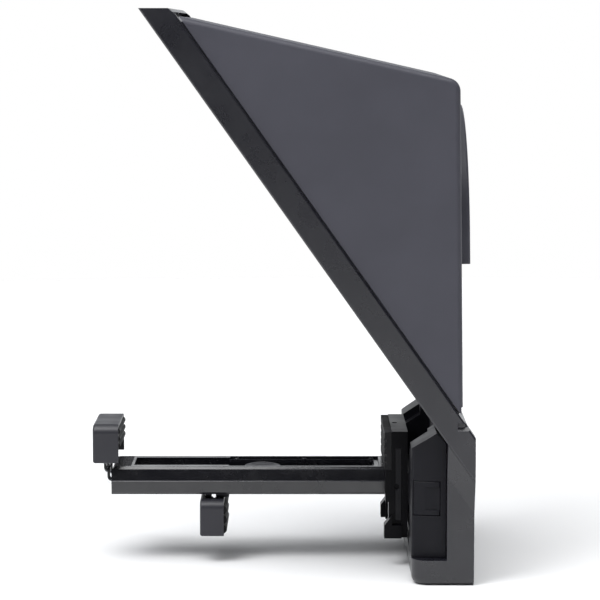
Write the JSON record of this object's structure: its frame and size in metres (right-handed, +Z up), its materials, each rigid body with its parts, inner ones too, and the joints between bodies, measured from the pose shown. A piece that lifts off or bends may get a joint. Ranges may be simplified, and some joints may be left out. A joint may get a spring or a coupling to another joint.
{
  "type": "teleprompter",
  "caption": "Compact teleprompter: sloped mirror-glass frame with a light hood and lens port behind, and a spring-clamp arm for a phone or small tablet below.",
  "frame": {"origin": "mouth of the tripod socket, in the middle of the flat underside of the foot", "axes": "+Z up, +X towards the camera behind the prompter, -X towards the speaker, Y across the width"},
  "size_m": [0.1663, 0.144, 0.2455],
  "materials": {
    "frame_plastic": "satin moulded, fine grain",
    "hood_plastic": "satin moulded, fine grain",
    "dock_plastic": "matt moulded",
    "arm_plastic": "satin moulded",
    "bracket_plastic": "matt moulded",
    "jaw_plastic": "matt moulded",
    "pad_rubber": "ribbed soft rubber",
    "seal_foam": "closed-cell foam",
    "beam_glass": "half-silvered clear glass",
    "chrome_rod": "polished",
    "black_screw": "black oxide",
    "zinc_screw": "zinc plated",
    "insert_brass": "turned",
    "spring_steel": "drawn wire",
    "rail_metal": "dark anodised"
  },
  "bodies": {
    "frame": {"main_frame": "frame_plastic", "glass_gasket": "seal_foam", "beam_splitter_glass": "beam_glass", "glass_retainer": "dock_plastic", "retainer_screws": "black_screw", "base_plate": "dock_plastic", "base_plate_screws": "black_screw", "tripod_insert": "insert_brass", "dock_block": "dock_plastic", "dock_screws": "black_screw", "hood_catches": "dock_plastic", "button_spring_left": "spring_steel", "button_spring_right": "spring_steel"},
    "hood": {"hood_shell": "hood_plastic", "lens_ring_arch": "dock_plastic", "port_seal": "seal_foam", "arch_screws": "black_screw"},
    "button_left": {"release_button_left": "dock_plastic"},
    "button_right": {"release_button_right": "dock_plastic"},
    "arm": {"bracket_body": "bracket_plastic", "bracket_side_rails": "rail_metal", "bracket_pins": "chrome_rod", "bracket_pad": "pad_rubber", "bracket_tongue": "bracket_plastic", "bracket_screws": "zinc_screw", "arm_body": "arm_plastic", "arm_cover": "arm_plastic", "arm_cover_screws": "black_screw", "arm_end_pad": "pad_rubber", "return_springs": "spring_steel"},
    "jaws": {"jaw_carriage": "dock_plastic", "carriage_stud": "jaw_plastic", "jaw_rods": "chrome_rod", "front_jaw": "jaw_plastic", "front_jaw_pad": "pad_rubber", "phone_jaw_pins": "chrome_rod", "phone_jaw": "jaw_plastic", "phone_jaw_pad": "pad_rubber", "phone_jaw_shoe": "dock_plastic"}
  },
  "joints": [
    {"name": "jaw_slide", "type": "slide", "parent": "arm", "child": "jaws", "axis": [-1, 0, 0], "range_m": [0, 0.04], "stiffness_N_per_m": 120, "springref_m": -0.05, "deforming": ["return_springs"]},
    {"name": "button_left_press", "type": "slide", "parent": "frame", "child": "button_left", "axis": [0, -1, 0], "range_m": [0, 0.002], "stiffness_N_per_m": 800, "springref_m": -0.001, "deforming": ["button_spring_left"]},
    {"name": "button_right_press", "type": "slide", "parent": "frame", "child": "button_right", "axis": [0, 1, 0], "range_m": [0, 0.002], "stiffness_N_per_m": 800, "springref_m": -0.001, "deforming": ["button_spring_right"]},
    {"name": "arm_removal", "type": "slide", "parent": "frame", "child": "arm", "axis": [-1, 0, 0], "range_m": [0, 0.04]},
    {"name": "hood_removal", "type": "slide", "parent": "frame", "child": "hood", "axis": [1, 0, 0], "range_m": [0, 0.06]}
  ]
}
